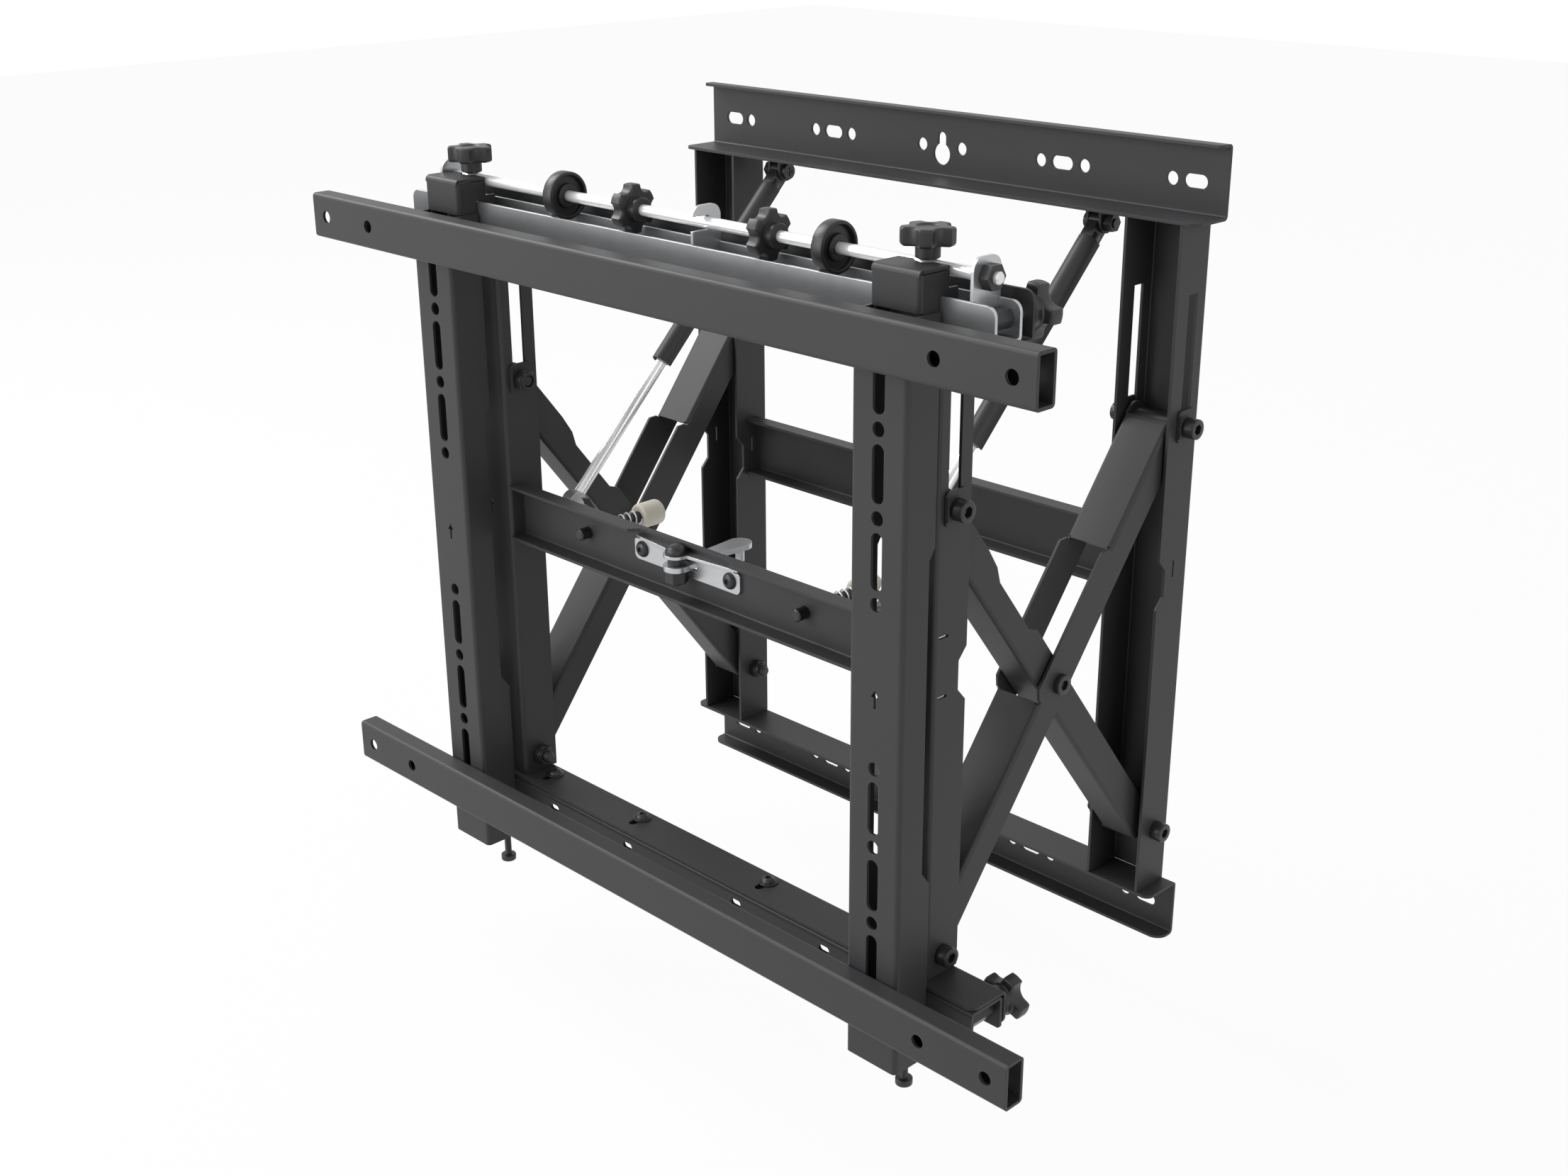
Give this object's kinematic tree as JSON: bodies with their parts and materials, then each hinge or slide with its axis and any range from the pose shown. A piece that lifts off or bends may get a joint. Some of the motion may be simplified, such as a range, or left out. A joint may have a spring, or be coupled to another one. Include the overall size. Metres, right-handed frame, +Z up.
{
  "type": "pop-out video wall mount",
  "caption": "Pop-out wall mount for one screen of a video wall: a wall frame and a display frame joined by folding scissor arms and gas struts, with depth and height knobs.",
  "frame": {"origin": "centre of the wall fastening pattern, on the wall face", "axes": "+X to the right as the viewer faces the screen, +Y into the wall, +Z up; the viewer stands on the -Y side"},
  "size_m": [0.63, 0.295, 0.548],
  "materials": {
    "black_steel": "charcoal powder coat, satin",
    "zinc": "bright zinc plate",
    "polished_steel": "polished",
    "black_oxide": "black oxide, slight sheen",
    "black_plastic": "moulded black nylon",
    "ivory_plastic": "moulded ivory nylon"
  },
  "bodies": {
    "wall_frame": {"top_wall_rail": "black_steel", "bottom_wall_rail": "black_steel", "rear_upright_left": "black_steel", "rear_upright_right": "black_steel", "rear_crossbar": "black_steel", "strut_hangers": "black_steel", "strut_top_screws": "black_oxide", "strut_top_nuts": "black_oxide"},
    "inner_arms": {"inner_arm_left": "black_steel", "inner_arm_right": "black_steel", "inner_arm_bolts": "black_oxide", "inner_arm_nuts": "black_oxide"},
    "outer_arms": {"outer_arm_left": "black_steel", "outer_arm_right": "black_steel", "outer_arm_bolts": "black_oxide", "outer_arm_nuts": "black_oxide", "centre_bolts": "black_oxide", "centre_nuts": "black_oxide", "slider_sleeves": "black_oxide"},
    "rear_sliders": {"rear_slider_plates": "black_steel"},
    "front_sliders": {"front_slider_plates": "black_steel"},
    "front_frame": {"front_upright_left": "black_steel", "front_upright_right": "black_steel", "front_crossbar": "black_steel", "top_outer_rail": "black_steel", "bottom_outer_rail": "black_steel", "latch_plate": "zinc", "latch_screws": "black_oxide", "latch_bolt": "black_oxide", "latch_nut": "black_oxide"},
    "latch": {"latch_lever": "zinc"},
    "bumpers": {"bumper_pins": "black_oxide", "bumper_caps": "ivory_plastic", "bumper_springs": "polished_steel"},
    "strut_cylinders": {"strut_guards": "black_steel", "strut_cylinders": "black_steel"},
    "strut_rods": {"strut_rods": "polished_steel", "strut_rod_eyes": "zinc"},
    "carriage": {"top_channel": "zinc", "bottom_channel": "black_steel", "rod_brackets": "zinc", "channel_spacers": "black_oxide", "rail_screws": "black_oxide"},
    "adjusting_rod": {"adjusting_rod": "polished_steel", "rod_star_knobs": "black_plastic", "rod_nuts": "black_oxide"},
    "rod_wheels": {"rod_wheels": "black_plastic"},
    "depth_knob_top_left": {"depth_knob_top_left": "black_plastic"},
    "depth_knob_top_right": {"depth_knob_top_right": "black_plastic"},
    "depth_knob_bottom_left": {"depth_knob_bottom_left": "black_plastic"},
    "depth_knob_bottom_right": {"depth_knob_bottom_right": "black_plastic"},
    "display_frame": {"display_upright_left": "black_steel", "display_upright_right": "black_steel", "top_display_tube": "black_steel", "bottom_display_tube": "black_steel", "hook_blocks": "black_steel"},
    "hook_knob_left": {"hook_knob_left": "black_plastic"},
    "hook_knob_right": {"hook_knob_right": "black_plastic"},
    "levelling_screw_left": {"levelling_screw_left": "black_oxide"},
    "levelling_screw_right": {"levelling_screw_right": "black_oxide"}
  },
  "joints": [
    {"name": "fold", "type": "hinge", "parent": "wall_frame", "child": "inner_arms", "pos_m": [0, -0.015, -0.184], "axis": [-1, 0, 0], "range_deg": [0, 28.4]},
    {"name": "arm_crossing", "type": "hinge", "parent": "inner_arms", "child": "outer_arms", "pos_m": [0, -0.1245, -0.04275], "axis": [1, 0, 0], "range_deg": [0, 56.8]},
    {"name": "front_lower_pivot", "type": "hinge", "parent": "outer_arms", "child": "front_frame", "pos_m": [0, -0.234, -0.184], "axis": [-1, 0, 0], "range_deg": [0, 28.4]},
    {"name": "rear_slider_turn", "type": "hinge", "parent": "outer_arms", "child": "rear_sliders", "pos_m": [0, -0.015, 0.0985], "axis": [-1, 0, 0], "range_deg": [0, 28.4]},
    {"name": "front_slider_turn", "type": "hinge", "parent": "inner_arms", "child": "front_sliders", "pos_m": [0, -0.234, 0.0985], "axis": [1, 0, 0], "range_deg": [0, 28.4]},
    {"name": "strut_swing", "type": "hinge", "parent": "wall_frame", "child": "strut_cylinders", "pos_m": [0, -0.011, 0.216], "axis": [1, 0, 0], "range_deg": [0, 33.38]},
    {"name": "strut_stroke", "type": "slide", "parent": "strut_cylinders", "child": "strut_rods", "axis": [0, 0.7059, 0.7083], "range_m": [0, 0.07984]},
    {"name": "carriage_depth", "type": "slide", "parent": "front_frame", "child": "carriage", "axis": [0, 1, 0], "range_m": [-0.008, 0.001]},
    {"name": "display_height", "type": "slide", "parent": "carriage", "child": "display_frame", "axis": [0, 0, 1], "range_m": [0, 0.005]},
    {"name": "top_left_depth_turn", "type": "hinge", "parent": "front_frame", "child": "depth_knob_top_left", "pos_m": [-0.246, -0.221, 0.21], "axis": [0, 1, 0], "range_deg": [-2310, 300]},
    {"name": "top_right_depth_turn", "type": "hinge", "parent": "front_frame", "child": "depth_knob_top_right", "pos_m": [0.246, -0.221, 0.21], "axis": [0, 1, 0], "range_deg": [-2310, 300]},
    {"name": "bottom_left_depth_turn", "type": "hinge", "parent": "front_frame", "child": "depth_knob_bottom_left", "pos_m": [-0.246, -0.221, -0.2105], "axis": [0, 1, 0], "range_deg": [-2310, 300]},
    {"name": "bottom_right_depth_turn", "type": "hinge", "parent": "front_frame", "child": "depth_knob_bottom_right", "pos_m": [0.246, -0.221, -0.2105], "axis": [0, 1, 0], "range_deg": [-2310, 300]},
    {"name": "left_hook_turn", "type": "hinge", "parent": "carriage", "child": "hook_knob_left", "pos_m": [-0.2, -0.244, 0.235], "axis": [0, 0, 1], "range_deg": [0, 1800]},
    {"name": "right_hook_turn", "type": "hinge", "parent": "carriage", "child": "hook_knob_right", "pos_m": [0.2, -0.244, 0.235], "axis": [0, 0, 1], "range_deg": [0, 1800]},
    {"name": "left_levelling_turn", "type": "hinge", "parent": "display_frame", "child": "levelling_screw_left", "pos_m": [-0.2, -0.2486, -0.27], "axis": [0, 0, 1], "continuous": true},
    {"name": "right_levelling_turn", "type": "hinge", "parent": "display_frame", "child": "levelling_screw_right", "pos_m": [0.2, -0.2486, -0.27], "axis": [0, 0, 1], "continuous": true},
    {"name": "rod_turn", "type": "hinge", "parent": "carriage", "child": "adjusting_rod", "pos_m": [0, -0.2426, 0.232], "axis": [1, 0, 0], "continuous": true},
    {"name": "wheel_turn", "type": "hinge", "parent": "adjusting_rod", "child": "rod_wheels", "pos_m": [0, -0.2426, 0.232], "axis": [1, 0, 0], "continuous": true},
    {"name": "latch_turn", "type": "hinge", "parent": "front_frame", "child": "latch", "pos_m": [-0.004, -0.245, 0.009], "axis": [0, 0, 1], "range_deg": [-5, 5]},
    {"name": "bumper_push", "type": "slide", "parent": "front_frame", "child": "bumpers", "axis": [0, -1, 0], "range_m": [0, 0.015], "stiffness_N_per_m": 900, "springref_m": -0.006, "deforming": ["bumper_springs"]}
  ],
  "couplings": [
    {"joint": "arm_crossing", "follows": "fold", "ratio": 2},
    {"joint": "front_lower_pivot", "follows": "fold", "ratio": 1},
    {"joint": "rear_slider_turn", "follows": "fold", "ratio": 1},
    {"joint": "front_slider_turn", "follows": "fold", "ratio": 1},
    {"joint": "strut_swing", "follows": "fold", "ratio": 1.1682},
    {"joint": "strut_stroke", "follows": "fold", "m_per_rad": 0.16047},
    {"joint": "top_left_depth_turn", "follows": "carriage_depth", "rad_per_m": 5026.6},
    {"joint": "top_right_depth_turn", "follows": "carriage_depth", "rad_per_m": 5026.6},
    {"joint": "bottom_left_depth_turn", "follows": "carriage_depth", "rad_per_m": 5026.6},
    {"joint": "bottom_right_depth_turn", "follows": "carriage_depth", "rad_per_m": 5026.6},
    {"joint": "left_hook_turn", "follows": "display_height", "rad_per_m": 5026.6},
    {"joint": "right_hook_turn", "follows": "display_height", "rad_per_m": 5026.6}
  ]
}
